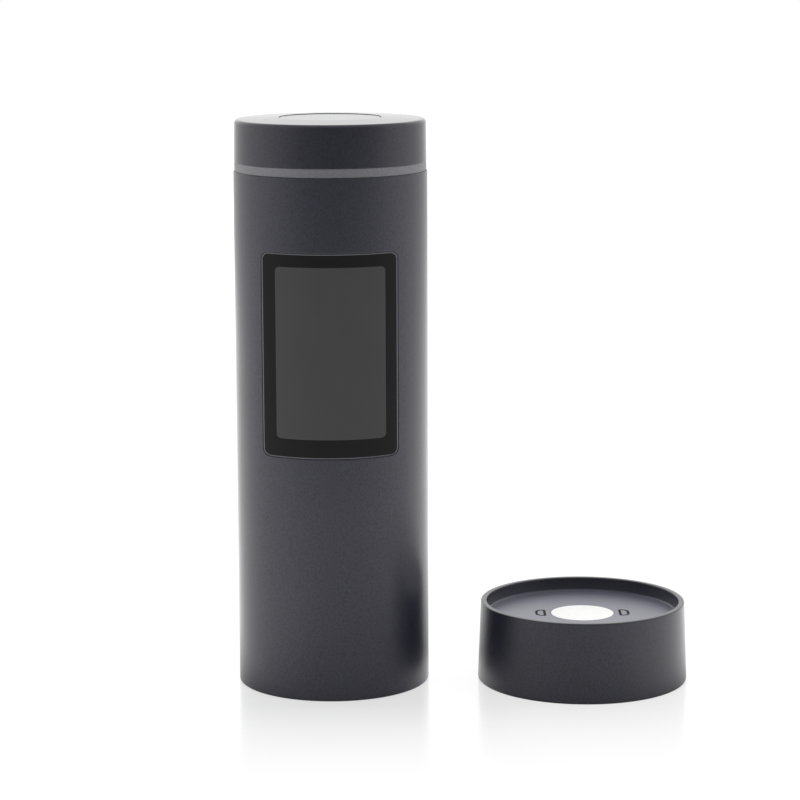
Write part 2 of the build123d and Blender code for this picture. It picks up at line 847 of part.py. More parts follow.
METER = {
    "barrel": build_barrel,
    "display_window": build_display_window,
    "window_gasket": build_window_gasket,
    "display_carrier": build_display_carrier,
    "display_panel": build_display_panel,
    "display_cushion": build_display_cushion,
    "carrier_screws": build_carrier_screws,
    "trim_ring": build_trim_ring,
    "top_cap": build_top_cap,
    "measure_button": build_measure_button,
    "switch_plunger": build_switch_plunger,
    "tact_switch": build_tact_switch,
    "return_membrane": build_return_membrane,
    "button_board": build_button_board,
    "head_frame": build_head_frame,
    "head_screws": build_head_screws,
    "hub_screws": build_hub_screws,
    "chassis": build_chassis,
    "main_board": build_main_board,
    "board_components": build_board_components,
    "board_screws": build_board_screws,
    "usb_socket": build_usb_socket,
    "battery": build_battery,
    "battery_tape": build_battery_tape,
    "base_plate": build_base_plate,
    "base_magnets": build_base_magnets,
    "base_screws": build_base_screws,
    "aperture_insert": build_aperture_insert,
    "sphere_lower": build_sphere_lower,
    "sphere_upper": build_sphere_upper,
    "lamp_board": build_lamp_board,
    "lamps": build_lamps,
    "sensor_tube": build_sensor_tube,
    "sensor_lens": build_sensor_lens,
    "sensor_board": build_sensor_board,
}

CAP = {
    "cap_shell": build_cap_shell,
    "white_tile": build_white_tile,
    "tile_retainer": build_tile_retainer,
    "retainer_screws": build_retainer_screws,
    "cap_magnets": build_cap_magnets,
    "cap_base": build_cap_base,
    "cap_screws": build_cap_screws,
}

os.makedirs("parts", exist_ok=True)
for name, build in METER.items():
    export_step(build(), f"parts/{name}.step")
for name, build in CAP.items():
    export_step(Pos(cap_x, cap_y, 0) * build(), f"parts/{name}.step")
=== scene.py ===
import math

import bmesh
import bpy
import numpy as np
from mathutils import Matrix, Vector


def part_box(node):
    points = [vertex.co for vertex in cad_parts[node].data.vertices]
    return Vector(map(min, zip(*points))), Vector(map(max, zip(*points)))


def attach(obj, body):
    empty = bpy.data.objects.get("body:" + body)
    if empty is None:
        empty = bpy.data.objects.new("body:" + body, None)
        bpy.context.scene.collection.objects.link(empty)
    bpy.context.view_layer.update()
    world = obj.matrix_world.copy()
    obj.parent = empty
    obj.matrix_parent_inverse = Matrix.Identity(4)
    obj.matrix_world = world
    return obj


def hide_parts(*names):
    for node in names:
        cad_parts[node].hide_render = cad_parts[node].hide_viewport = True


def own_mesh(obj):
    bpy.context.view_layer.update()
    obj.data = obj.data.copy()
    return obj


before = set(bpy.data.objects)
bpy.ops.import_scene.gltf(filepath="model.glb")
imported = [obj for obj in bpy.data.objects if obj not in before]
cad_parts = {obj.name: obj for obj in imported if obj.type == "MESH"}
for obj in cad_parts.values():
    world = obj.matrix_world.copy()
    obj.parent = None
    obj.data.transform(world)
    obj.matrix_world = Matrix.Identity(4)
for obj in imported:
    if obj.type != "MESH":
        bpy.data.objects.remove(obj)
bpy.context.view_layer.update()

# Sizes are in millimetres until a mesh is made, and are read from the frame where it has them
MM = 0.001


def box_mm(node):
    """Lowest and highest corner of a CAD node, in millimetres."""
    low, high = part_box(node)
    return np.array(low) / MM, np.array(high) / MM


barrel_high = box_mm("barrel")[1]
plate_high = box_mm("base_plate")[1]
ring_low, ring_high = box_mm("trim_ring")
top_low, top_high = box_mm("top_cap")
button_low, button_high = box_mm("measure_button")
pane_low, pane_high = box_mm("display_window")
shell_low, shell_high = box_mm("cap_shell")
tile_low, tile_high = box_mm("white_tile")
membrane_low, membrane_high = box_mm("return_membrane")
cap_plate_low, cap_plate_high = box_mm("cap_base")
socket_low, socket_high = box_mm("usb_socket")

# Barrel
barrel_radius = barrel_high[0]
barrel_top = barrel_high[2]
barrel_wall = 2.0
bore_radius = barrel_radius - barrel_wall
plate_gap = 0.1
foot_step_radius = plate_high[0] + plate_gap
foot_step_height = 1.6
foot_round = 0.4
top_edge_round = 0.1
small_edge = 0.06

# Window pocket and pane
pocket_gap = 0.06
pocket_edge = 0.06
pocket_corner = 1.3
pane_thickness = 1.2
pane_bevel = 0.2
pane_seat_gap = 0.15
seat_depth = pane_thickness + pane_seat_gap
ledge_width = 1.4
view_low = np.array([-9.3, 46.45])
view_high = np.array([9.6, 76.25])
view_corner = 0.8
print_blur = 0.03

# Slot for the charging socket, with a very short straight run left at its round ends
slot_gap = 0.15
slot_edge = 0.2
slot_straight = 0.005

# Ring, top cap and button
top_radius = top_high[0]
top_draft = 0.1
top_round = 0.6
top_rise = 0.3
top_plate = 1.9
spigot_gap = 0.1
spigot_radius = bore_radius - spigot_gap
spigot_wall = 1.5
ring_gap = 0.05
ring_edge = 0.1
button_radius = 8.8
button_gap = 0.14
button_bevel = 0.06
flange_height = 1.0
nub_radius = 1.6
nub_height = 1.2
nub_round = 0.25
membrane_wall = 0.6
membrane_foot = 0.9
membrane_lean = 1.2

# Calibration cap
cap_middle = ((shell_low + shell_high) / 2)[:2]
cap_foot_radius = (shell_high[0] - shell_low[0]) / 2
cap_taper = 0.54
cap_rim_radius = cap_foot_radius - cap_taper
cap_height = shell_high[2]
cap_rim_edge = 0.25
cap_floor = 1.8
cap_wall = 1.5
recess_radius = 17.14
recess_level = tile_high[2]
recess_depth = cap_height - recess_level
recess_fillet = 0.35
tile_radius = 5.62
tile_gap = 0.05
tile_edge = 0.05

# Index marks beside the tile
mark_offset = 7.5
mark_half_height = 2.2
mark_half_width = 0.95
mark_round = 1.4
mark_line = 0.45
mark_corner = 0.12
mark_rise = 0.02
mark_shoulder = 0.012

# Camera of the photograph, from the outlines of the barrel and the cap in an 800 pixel wide picture
picture_width = 800
focal_pixels = 2840.5
sensor_width = 36.0
camera_place = (11.95, -497.15, 135.48)
camera_down = math.radians(9.694)
camera_turn = math.radians(0.009)
camera_roll = math.radians(-0.229)


# Meshes

columns = 240
merge_step = 1e-4


def rounded(corners, closed=True, steps=6, hold=0.12):
    """Half section of straight runs with an arc at each corner (radius, height, rounding).
    Each arc gets a point a little way along both its runs, which keeps the flats flat in smooth shading."""
    points = np.array([corner[:2] for corner in corners], float)
    count = len(corners)
    made = []
    for index, (_, _, size) in enumerate(corners):
        here = points[index]
        if size == 0 or (not closed and index in (0, count - 1)):
            made.append(here[None])
            continue
        back = points[index - 1] - here
        ahead = points[(index + 1) % count] - here
        back_length, ahead_length = np.linalg.norm(back), np.linalg.norm(ahead)
        back, ahead = back / back_length, ahead / ahead_length
        half = np.arccos(np.clip(back @ ahead, -1, 1)) / 2
        reach = size / np.tan(half)
        middle = here + (back + ahead) / np.linalg.norm(back + ahead) * size / np.sin(half)
        first, last = here + back * reach, here + ahead * reach
        start = np.arctan2(*(first - middle)[::-1])
        sweep = np.arctan2(*(last - middle)[::-1]) - start
        sweep = (sweep + np.pi) % (2 * np.pi) - np.pi
        turns = start + sweep * np.linspace(0, 1, steps + 1)
        arc = middle + size * np.stack([np.cos(turns), np.sin(turns)], -1)
        before = first + back * min(hold, (back_length - reach) / 3)
        after = last + ahead * min(hold, (ahead_length - reach) / 3)
        made += [before[None], arc, after[None]]
    if closed:
        made.append(made[0][:1])
    return np.vstack(made)


def on_tube(radius, turn, height):
    """Points at a radius, a turn from the display's direction, -Y, towards +X, and a height."""
    radius, turn, height = np.broadcast_arrays(radius, turn, height)
    return np.stack([radius * np.sin(turn), -radius * np.cos(turn), height], -1)


def revolved(profile, middle=(0.0, 0.0)):
    """Surface of revolution: the profile's (radius, height) points carried round an upright axis."""
    turn = np.linspace(0, 2 * np.pi, columns + 1)
    points = on_tube(profile[:, 0, None], turn[None], profile[:, 1, None])
    return points + np.array([middle[0], middle[1], 0.0])


def outline(half_width, half_height, corner, across, up, corner_steps):
    """Rounded rectangle, run anticlockwise from the middle of its lower left corner.
    Each side has a half corner, a straight run and a half corner, with a fixed number of steps."""
    middles = np.array([(-1, -1), (1, -1), (1, 1), (-1, 1)]) * (half_width - corner, half_height - corner)
    made = []
    for side, steps in enumerate((across, up, across, up)):
        turns = np.radians(225 + 90 * side + np.linspace(0, 45, corner_steps + 1))
        first = middles[side] + corner * np.stack([np.cos(turns), np.sin(turns)], -1)
        turns = turns + np.radians(45)
        last = middles[(side + 1) % 4] + corner * np.stack([np.cos(turns), np.sin(turns)], -1)
        share = np.linspace(0, 1, steps - 2 * corner_steps + 1)[1:-1, None]
        made += [first, first[-1] + share * (last[0] - first[-1]), last[:-1]]
    return np.vstack(made)


def frame_line(turns, heights):
    """Boundary of a stretch of the tube's side, run as the outline is, in (turn, height)."""
    low = np.stack([turns, np.full_like(turns, heights[0])], -1)[:-1]
    right = np.stack([np.full_like(heights, turns[-1]), heights], -1)[:-1]
    high = np.stack([turns[::-1], np.full_like(turns, heights[-1])], -1)[:-1]
    left = np.stack([np.full_like(heights, turns[0]), heights[::-1]], -1)[:-1]
    return np.vstack([low, right, high, left])


def closed_rows(rows):
    """Grid of closed loops, each row's first point repeated at its end."""
    grid = np.stack(rows)
    return np.concatenate([grid, grid[:, :1]], axis=1)


def piece_from(name, grids):
    """Mesh object from grids of points in millimetres: quads between neighbours, equal points merged,
    and faces turned outwards."""
    points, quads, start = [], [], 0
    for grid in grids:
        rows, places = grid.shape[:2]
        index = start + np.arange(rows * places).reshape(rows, places)
        quads.append(np.stack(
            [index[:-1, :-1], index[1:, :-1], index[1:, 1:], index[:-1, 1:]], -1).reshape(-1, 4))
        points.append(grid.reshape(-1, 3))
        start += rows * places
    points, quads = np.vstack(points), np.vstack(quads)
    keys = np.round(points / merge_step).astype(np.int64)
    _, kept, where = np.unique(keys, axis=0, return_index=True, return_inverse=True)
    points, quads = points[kept], where.reshape(-1)[quads]
    doubled = quads == np.roll(quads, -1, axis=1)
    full = quads[doubled.sum(1) == 0]
    pinched = doubled.sum(1) == 1
    triangles = quads[pinched][~doubled[pinched]].reshape(-1, 3)
    corners = np.concatenate([full.ravel(), triangles.ravel()]).astype(np.int32)
    totals = np.concatenate([np.full(len(full), 4), np.full(len(triangles), 3)]).astype(np.int32)
    starts = np.concatenate([[0], np.cumsum(totals)[:-1]]).astype(np.int32)
    mesh = bpy.data.meshes.new(name)
    mesh.vertices.add(len(points))
    mesh.vertices.foreach_set("co", (points * MM).astype(np.float32).ravel())
    mesh.loops.add(len(corners))
    mesh.loops.foreach_set("vertex_index", corners)
    mesh.polygons.add(len(totals))
    mesh.polygons.foreach_set("loop_start", starts)
    mesh.polygons.foreach_set("loop_total", totals)
    mesh.update(calc_edges=True)
    work = bmesh.new()
    work.from_mesh(mesh)
    bmesh.ops.recalc_face_normals(work, faces=work.faces[:])
    work.to_mesh(mesh)
    work.free()
    mesh.polygons.foreach_set("use_smooth", np.ones(len(mesh.polygons), bool))
    piece = bpy.data.objects.new(name, mesh)
    bpy.context.scene.collection.objects.link(piece)
    return piece


def finish_piece(piece, body, slot, material, *nodes):
    """Sets a piece on its body, with its material, and hides the CAD nodes that it stands for. Its slot is
    not used.
    """
    piece.data.materials.append(material)
    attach(piece, body)
    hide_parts(*nodes)


# Materials

def linear(hex_colour):
    """Linear colour from an sRGB hex value."""
    parts = [int(hex_colour[index:index + 2], 16) / 255 for index in (1, 3, 5)]
    return tuple(c / 12.92 if c <= 0.04045 else ((c + 0.055) / 1.055) ** 2.4 for c in parts) + (1.0,)


def add(tree, kind, inputs=None, **settings):
    """Adds a node with its settings, and sets each named input to a value or another node's output."""
    made = tree.nodes.new(kind)
    for key, value in settings.items():
        setattr(made, key, value)
    for key, value in (inputs or {}).items():
        if isinstance(value, bpy.types.NodeSocket):
            tree.links.new(value, made.inputs[key])
        else:
            made.inputs[key].default_value = value
    return made


def ramp(tree, value, start, end, first=0.0, last=1.0, curve="LINEAR"):
    """Output that goes from the first level to the last while a value goes from start to end."""
    return add(tree, "ShaderNodeMapRange", {
        "Value": value, "From Min": start, "From Max": end, "To Min": first, "To Max": last},
        interpolation_type=curve).outputs["Result"]


def maths(tree, operation, *values):
    """Output of one step of arithmetic."""
    return add(tree, "ShaderNodeMath", dict(enumerate(values)), operation=operation).outputs[0]


def vector_maths(tree, operation, *values):
    """Number that one step of vector arithmetic gives, such as a length or a distance."""
    return add(tree, "ShaderNodeVectorMath", dict(enumerate(values)), operation=operation).outputs["Value"]


def mixed(tree, share, first, last, kind="RGBA"):
    """Output between two colours or two numbers, by a share."""
    return add(tree, "ShaderNodeMix", {
        "Factor": share, "A": first, "B": last}, data_type=kind).outputs["Result"]


def noise(tree, place, size_mm):
    """Noise with patches of a real size."""
    return add(tree, "ShaderNodeTexNoise", {
        "Vector": place, "Scale": 1 / (size_mm * MM), "Detail": 2.0}).outputs["Fac"]


def started(name):
    """Empty node material with its output and the object's own coordinates."""
    material = bpy.data.materials.new(name)
    material.use_nodes = True
    tree = material.node_tree
    tree.nodes.clear()
    output = add(tree, "ShaderNodeOutputMaterial")
    place = add(tree, "ShaderNodeTexCoord").outputs["Object"]
    return material, tree, output, place


# Where noise mostly lies, the size of the slow patches, and how flat a view has to be to even out a grain
noise_range = (0.3, 0.7)
patch_size = 25
grazing_range = (0.25, 0.9)


def grained(name, dark, light, roughness, grain_mm, depth_mm, sockets=None, spread=0.04, grazing=1.0,
            patch=None):
    """Material with a fine grain: noise at the grain's size sets small changes of colour, roughness
    and height, and slower noise changes the roughness over the surface. Seen flat along the surface a
    fine texture evens out and shines more, so the roughness falls there by the grazing factor. A patch,
    if given, is a function for one area's mask, with that area's colour and its factor of roughness."""
    material, tree, output, place = started(name)
    grain = ramp(tree, noise(tree, place, grain_mm), *noise_range)
    colour = mixed(tree, grain, linear(dark), linear(light))
    rough = ramp(tree, noise(tree, place, patch_size), *noise_range, roughness - spread, roughness + spread)
    if grazing < 1:
        facing = add(tree, "ShaderNodeLayerWeight", {"Blend": 0.5}).outputs["Facing"]
        rough = maths(tree, "MULTIPLY", rough, ramp(tree, facing, *grazing_range, 1.0, grazing))
    if patch:
        mask_of, patch_colour, patch_roughness = patch
        area = mask_of(tree, place)
        colour = mixed(tree, area, colour, linear(patch_colour))
        rough = maths(tree, "MULTIPLY", rough, ramp(tree, area, 0.0, 1.0, 1.0, patch_roughness))
    bump = add(tree, "ShaderNodeBump", {"Height": grain, "Distance": depth_mm * MM, "Strength": 1.0})
    shader = add(tree, "ShaderNodeBsdfPrincipled", {
        "Base Color": colour, "Roughness": rough, "Normal": bump.outputs["Normal"], **(sockets or {})})
    tree.links.new(shader.outputs["BSDF"], output.inputs["Surface"])
    return material


# Edge of the mask of the recess's painted sheen, a lighter grey: how fast it falls off the floor, how much
# of it the wall has at its foot, and how far it reaches past the recess's radius
recess_blur = 0.2
recess_wall_painted_sheen_share = 0.3
recess_margin = 0.25


def recess_painted_sheen_area(tree, place):
    """Mask for the painted sheen in the calibration cap's recess, a lighter grey that stands for the light
    its dark floor
    catches at a grazing view: full on its floor, and less of it on its wall, down to nothing at the rim."""
    height = add(tree, "ShaderNodeSeparateXYZ", {"Vector": place}).outputs["Z"]
    level = recess_level * MM
    off = maths(tree, "ABSOLUTE", maths(tree, "SUBTRACT", height, level))
    floor = ramp(tree, off, 0.0, recess_blur * MM, 1.0, 0.0)
    wall = ramp(tree, off, 0.0, recess_depth * MM, recess_wall_painted_sheen_share, 0.0)
    away = vector_maths(tree, "DISTANCE", place, (*(cap_middle * MM), level))
    inner = maths(tree, "LESS_THAN", away, (recess_radius + recess_margin) * MM)
    return maths(tree, "MULTIPLY", maths(tree, "MAXIMUM", floor, wall), inner)


# Soft-touch matt paint, sprayed on the aluminium tube: near black with a breath of blue, an even fine
# orange peel that scatters highlights, and pale edges where the light grazes it
matt_paint = grained("soft_touch_matt_black_paint", "#15151e", "#242433", 0.40, 0.34, 0.0025, {"IOR": 1.5},
                     grazing=0.55)

# The same paint on the moulded cap and key, a little smoother on the flat top
cap_paint = grained("matt_black_painted_ABS", "#12121a", "#21212f", 0.36, 0.34, 0.002, {"IOR": 1.5},
                    grazing=0.3)

# Calibration cap, spark-textured ABS: a shade darker than the barrel and as matt, with a painted sheen in
# its recess:
# the floor and the foot of the wall a lighter grey that stands for the grazing light the dark floor catches
# The patch is painted sheen: a lighter grey on the recess floor and the foot of its wall
shell_plastic = grained("spark_textured_black_ABS_painted_recess_sheen", "#0f0f17", "#1e1e2f", 0.42, 0.34, 0.002, {"IOR": 1.53},
                        grazing=0.6, patch=(recess_painted_sheen_area, "#626270", 1.12))

# Trim ring, bead-blasted and anodised grey: a flat mid grey line without a highlight
ring_metal = grained("bead_blasted_grey_anodised_aluminium", "#636367", "#717175", 0.5, 0.25, 0.003,
                     {"Metallic": 0.35}, grazing=0.8)

# Reference tile, fired and polished white ceramic: brightest thing on the object
tile_ceramic = grained("polished_white_ceramic", "#ececeb", "#f0f0ef", 0.2, 0.8, 0.0004,
                       {"IOR": 1.55}, spread=0.02)

# Index marks, pad-printed ink: thin lines, the darkest thing in the recess
mark_ink = grained("gloss_black_ink", "#060607", "#0a0a0b", 0.5, 0.3, 0.001,
                   {"IOR": 1.5, "Specular IOR Level": 0.04})

# End plate, anodised aluminium: black, with a dull metal sheen
plate_metal = grained("black_anodised_aluminium", "#1b1b1d", "#232326", 0.45, 0.15, 0.003,
                      {"Metallic": 0.5})

# Plain and coated small parts inside, which show only in a view from below or behind
inner_black = grained("moulded_black_ABS", "#141415", "#1a1a1b", 0.5, 0.3, 0.006, {"IOR": 1.53})
foam_black = grained("black_PU_foam", "#101010", "#202020", 0.9, 0.25, 0.05, {"IOR": 1.45})
screw_metal = grained("zinc_plated_steel", "#8e9094", "#a4a6aa", 0.32, 0.1, 0.002, {"Metallic": 1.0})
socket_metal = grained("nickel_plated_steel", "#9b9894", "#aaa7a2", 0.28, 0.1, 0.001, {"Metallic": 1.0})
magnet_metal = grained("nickel_plated_magnet", "#a9a69f", "#b5b2ab", 0.22, 0.15, 0.001, {"Metallic": 1.0})
white_plastic = grained("sintered_white_PTFE", "#ececea", "#f4f4f2", 0.7, 0.3, 0.01, {"IOR": 1.38})
silicone = grained("moulded_silicone", "#a8a8a6", "#b4b4b2", 0.6, 0.4, 0.004, {"IOR": 1.41})
board_green = grained("green_solder_mask", "#0e3b24", "#14482e", 0.35, 0.5, 0.004, {"IOR": 1.5})
chip_black = grained("moulded_epoxy", "#161616", "#1e1e1e", 0.6, 0.15, 0.006, {"IOR": 1.55})
cell_foil = grained("laminated_foil", "#a2a4a6", "#b0b2b4", 0.35, 0.6, 0.006, {"Metallic": 0.9})
lamp_resin = grained("yellow_phosphor_resin", "#cdb04a", "#d8bd5c", 0.35, 0.2, 0.002, {"IOR": 1.5})
panel_glass = grained("dark_display_glass", "#101012", "#151517", 0.12, 1.0, 0.0002,
                      {"IOR": 1.52}, spread=0.02)
lens_glass = grained("polished_optical_glass", "#e6ecec", "#eef2f2", 0.03, 1.0, 0.0001,
                     {"IOR": 1.52, "Transmission Weight": 1.0}, spread=0.01)

pane_dust_size = 6
pane_roughness = (0.28, 0.36)


def printed_pane():
    """Curved PMMA pane, printed black on its back round the view, with an anti-glare coat: a dark frame
    with a slightly paler unlit display in it, a painted highlight as a thin pale grey line on its bevel,
    and hardly any reflection."""
    material, tree, output, place = started("back_printed_PMMA_pane_painted_bevel_highlight")
    parts = add(tree, "ShaderNodeSeparateXYZ", {"Vector": place})
    dust = noise(tree, place, pane_dust_size)

    def inside(low, high, corner):
        """One inside a rounded rectangle, nought outside it, from the distance to its inner corners."""
        middle, half = (low + high) / 2, (high - low) / 2 - corner
        past = {}
        for axis, centre, reach in zip("XZ", middle * MM, half * MM):
            off = maths(tree, "ABSOLUTE", maths(tree, "SUBTRACT", parts.outputs[axis], centre))
            past[axis] = maths(tree, "MAXIMUM", maths(tree, "SUBTRACT", off, reach), 0.0)
        away = vector_maths(tree, "LENGTH", add(tree, "ShaderNodeCombineXYZ", past).outputs[0])
        return ramp(tree, away, (corner - print_blur) * MM, (corner + print_blur) * MM, 1.0, 0.0)

    def toned(dark, light):
        """Colour between two near tones, by the slow noise."""
        return mixed(tree, dust, linear(dark), linear(light))

    # Painted highlight: outside the flat face, the bevel gets a pale grey for the light it catches
    face_low, face_high = pane_low[[0, 2]] + pane_bevel, pane_high[[0, 2]] - pane_bevel
    flat = inside(face_low, face_high, pocket_corner - pane_bevel)
    frame_and_painted_bevel_highlight = mixed(tree, flat, toned("#606065", "#66666b"), toned("#1b1b1c", "#1e1e1f"))
    colour = mixed(tree, inside(view_low, view_high, view_corner), frame_and_painted_bevel_highlight, toned("#404040", "#434343"))
    shader = add(tree, "ShaderNodeBsdfPrincipled", {
        "Base Color": colour, "Roughness": ramp(tree, dust, 0.0, 1.0, *pane_roughness),
        "IOR": 1.49, "Specular IOR Level": 0.05})
    tree.links.new(shader.outputs["BSDF"], output.inputs["Surface"])
    return material


pane_print = printed_pane()

node_materials = {
    "window_gasket": foam_black, "display_carrier": inner_black, "display_panel": panel_glass,
    "display_cushion": foam_black, "carrier_screws": screw_metal, "switch_plunger": inner_black,
    "tact_switch": screw_metal, "button_board": board_green,
    "head_frame": inner_black, "head_screws": screw_metal, "hub_screws": screw_metal,
    "chassis": inner_black, "main_board": board_green, "board_components": chip_black,
    "board_screws": screw_metal, "usb_socket": socket_metal, "battery": cell_foil,
    "battery_tape": foam_black, "base_plate": plate_metal, "base_magnets": magnet_metal,
    "base_screws": screw_metal, "aperture_insert": white_plastic, "sphere_lower": white_plastic,
    "sphere_upper": white_plastic, "lamp_board": board_green, "lamps": lamp_resin,
    "sensor_tube": inner_black, "sensor_lens": lens_glass, "sensor_board": board_green,
    "tile_retainer": inner_black, "retainer_screws": screw_metal, "cap_magnets": magnet_metal,
    "cap_base": shell_plastic, "cap_screws": screw_metal,
}
for node_name, node_material in node_materials.items():
    node_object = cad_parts[node_name]
    node_object.data.materials.clear()
    node_object.data.materials.append(node_material)


# Barrel

# Rows and columns of the tube's side, with the stretches that hold the pocket and the socket's slot
row_pitch = 1.0
side_low, side_high = 2.0, 91.0
pocket_columns = 32
pocket_rows = (41.0, 81.0)
slot_columns = 14
slot_rows = (32.0, 40.0)
pocket_corner_steps = 6
slot_corner_steps = 3
rim_shares = (1.0, 0.6, 0.3, 0.1, 0.0)
column_turn = 2 * np.pi / columns
pane_half = (pane_high - pane_low)[[0, 2]] / 2
pane_middle_z = (pane_low[2] + pane_high[2]) / 2
socket_half = (socket_high - socket_low)[[0, 2]] / 2
socket_middle_z = (socket_low[2] + socket_high[2]) / 2


def heights_between(low, high):
    """Heights one pitch apart, both ends included."""
    return np.linspace(low, high, int(round((high - low) / row_pitch)) + 1)


def tube_side(radius):
    """Side of the tube at a radius, as grids of turn and height that leave the two stretches out."""
    def stretch(first, last, low, high):
        turns = column_turn * np.arange(first, last + 1)
        return on_tube(radius, turns[None], heights_between(low, high)[:, None])
    half = columns // 2
    return [
        stretch(0, columns, side_low, slot_rows[0]),
        stretch(-half + slot_columns, half - slot_columns, *slot_rows),
        stretch(0, columns, slot_rows[1], pocket_rows[0]),
        stretch(pocket_columns, columns - pocket_columns, *pocket_rows),
        stretch(0, columns, pocket_rows[1], side_high),
    ]


def hole_rim(radius, middle_turn, half_columns, rows, loop):
    """Loops that run from a stretch's boundary to a hole's outline, all on the tube at one radius."""
    turns = middle_turn + column_turn * np.arange(-half_columns, half_columns + 1)
    boundary = frame_line(turns, heights_between(*rows))
    hole = np.stack([middle_turn + np.arcsin(loop[:, 0] / radius), loop[:, 1]], -1)
    between = [hole + share * (boundary - hole) for share in rim_shares]
    return [on_tube(radius, places[:, 0], places[:, 1]) for places in between]


def hole_loop(radius, middle_turn, loop):
    """One loop of a hole's wall, which runs square to the middle of the hole."""
    return on_tube(radius, middle_turn + np.arcsin(loop[:, 0] / radius), loop[:, 1])


def hole_grid(middle_turn, half_columns, rows, sections, outer_loop, inner_loop):
    """Hole through the tube: the rim outside, the given wall sections, and the rim inside."""
    loops = hole_rim(barrel_radius, middle_turn, half_columns, rows, outer_loop)
    loops += [hole_loop(radius, middle_turn, loop) for radius, loop in sections]
    loops += hole_rim(bore_radius, middle_turn, half_columns, rows, inner_loop)[::-1]
    return closed_rows(loops)


def loop_maker(half, corner, middle_z, half_columns, rows, corner_steps):
    """Function that gives a hole's outline, grown outwards by a distance."""
    up = int(round((rows[1] - rows[0]) / row_pitch))

    def grown(size):
        loop = outline(half[0] + size, half[1] + size, corner + size, 2 * half_columns, up, corner_steps)
        return loop + np.array([0.0, middle_z])
    return grown


def pocket_loops(half, corner):
    """Maker of the outlines in the pocket's stretch, for a half size and a corner."""
    return loop_maker(half, corner, pane_middle_z, pocket_columns, pocket_rows, pocket_corner_steps)


def edge_sections(grown, edge, steps=4):
    """Rounded edge of a hole, from the tube's side down into the hole's wall."""
    turns = np.linspace(0, np.pi / 2, steps + 1)[1:]
    return [(barrel_radius - edge * (1 - np.cos(turn)), grown(edge * (1 - np.sin(turn)))) for turn in turns]


def build_barrel():
    """Tube as one closed shell: circles outside and inside, their ends carried round the axis, with the
    pane's stepped pocket in front and the socket's slot behind, each a rounded rectangle on the tube."""
    pocket = pocket_loops(pane_half + pocket_gap, pocket_corner + pocket_gap)
    throat = pocket_loops(pane_half - ledge_width, pocket_corner)
    seat_radius = barrel_radius - seat_depth
    pocket_sections = edge_sections(pocket, pocket_edge) + [
        (seat_radius, pocket(0)), (seat_radius, throat(0)), (bore_radius, throat(0))]
    slot = loop_maker(socket_half + slot_gap, socket_half[1] + slot_gap - slot_straight, socket_middle_z,
                      slot_columns, slot_rows, slot_corner_steps)
    slot_sections = edge_sections(slot, slot_edge) + [(bore_radius, slot(0))]
    foot = rounded([
        (barrel_radius, side_low, 0), (barrel_radius, 0, foot_round),
        (foot_step_radius, 0, small_edge), (foot_step_radius, foot_step_height, small_edge),
        (bore_radius, foot_step_height, small_edge), (bore_radius, side_low, 0)], closed=False)
    head = rounded([
        (barrel_radius, side_high, 0), (barrel_radius, barrel_top, top_edge_round),
        (bore_radius, barrel_top, small_edge), (bore_radius, side_high, 0)], closed=False)
    grids = tube_side(barrel_radius) + tube_side(bore_radius) + [revolved(foot), revolved(head)]
    grids.append(hole_grid(
        0.0, pocket_columns, pocket_rows, pocket_sections, pocket(pocket_edge), throat(0)))
    grids.append(hole_grid(np.pi, slot_columns, slot_rows, slot_sections, slot(slot_edge), slot(0)))
    return piece_from("barrel_tube", grids)


finish_piece(build_barrel(), "meter", "matt_coat", matt_paint, "barrel")


# Window pane

# How far each loop of the pane's faces lies from its outline, as a share of the way to its middle
front_shares = np.concatenate([np.linspace(0, 0.9, 19), [0.96, 0.99]])
back_shares = np.linspace(1, 0, 13)
bevel_steps = 5


def build_pane():
    """Curved pane: loops shrink from its rounded outline to its middle on the tube's own radius, outside
    and inside, and a rounded edge and a wall join the two faces."""
    grown = pocket_loops(pane_half, pocket_corner)
    centre = np.array([0.0, pane_middle_z])
    under_radius = barrel_radius - pane_thickness

    def shrunk(radius, face, shares):
        return [hole_loop(radius, 0.0, centre + share * (face - centre)) for share in shares]

    front = shrunk(barrel_radius, grown(-pane_bevel), front_shares)
    edge = []
    for turn in np.linspace(0, np.pi / 2, bevel_steps):
        inset = pane_bevel * (1 - np.sin(turn))
        edge.append(hole_loop(barrel_radius - pane_bevel * (1 - np.cos(turn)), 0.0, grown(-inset)))
    back = shrunk(under_radius, grown(0), back_shares)
    return piece_from("window_pane", [closed_rows(front + edge + back)])


finish_piece(build_pane(), "meter", "window_pane", pane_print, "display_window")


# Trim ring, top cap and button

def build_ring():
    """Ring: a rectangular section with softly rounded outer corners, carried round the axis."""
    inner = spigot_radius + ring_gap
    return piece_from("trim_band", [revolved(rounded([
        (inner, ring_low[2], small_edge), (ring_high[0], ring_low[2], ring_edge),
        (ring_high[0], ring_high[2], ring_edge), (inner, ring_high[2], small_edge)]))])


def build_top():
    """Top cap: its section carried round the axis, a plate that falls a little from its round mouth to
    the rim, a side with a slight draft, and a spigot below."""
    mouth = button_radius + button_gap
    inner = spigot_radius - spigot_wall
    shoulder = ring_high[2]
    rim = top_high[2] - top_rise
    under = rim - top_plate
    return piece_from("top_cover", [revolved(rounded([
        (mouth, rim + top_rise, button_bevel), (mouth, under, small_edge),
        (inner, under, small_edge), (inner, top_low[2], small_edge),
        (spigot_radius, top_low[2], small_edge), (spigot_radius, shoulder, small_edge),
        (top_radius, shoulder, small_edge), (top_radius - top_draft, rim, top_round)]))])


def build_button():
    """Key: its section carried round the axis, a flat disc with a flange and a nub below it."""
    low, top = button_low[2], button_high[2]
    flange_low = low + nub_height
    flange_radius = button_high[0]
    return piece_from("measure_key", [revolved(rounded([
        (0, top, 0), (button_radius, top, button_bevel),
        (button_radius, flange_low + flange_height, small_edge),
        (flange_radius, flange_low + flange_height, small_edge),
        (flange_radius, flange_low, small_edge), (nub_radius, flange_low, small_edge),
        (nub_radius, low, nub_round), (0, low, 0)], closed=False))])


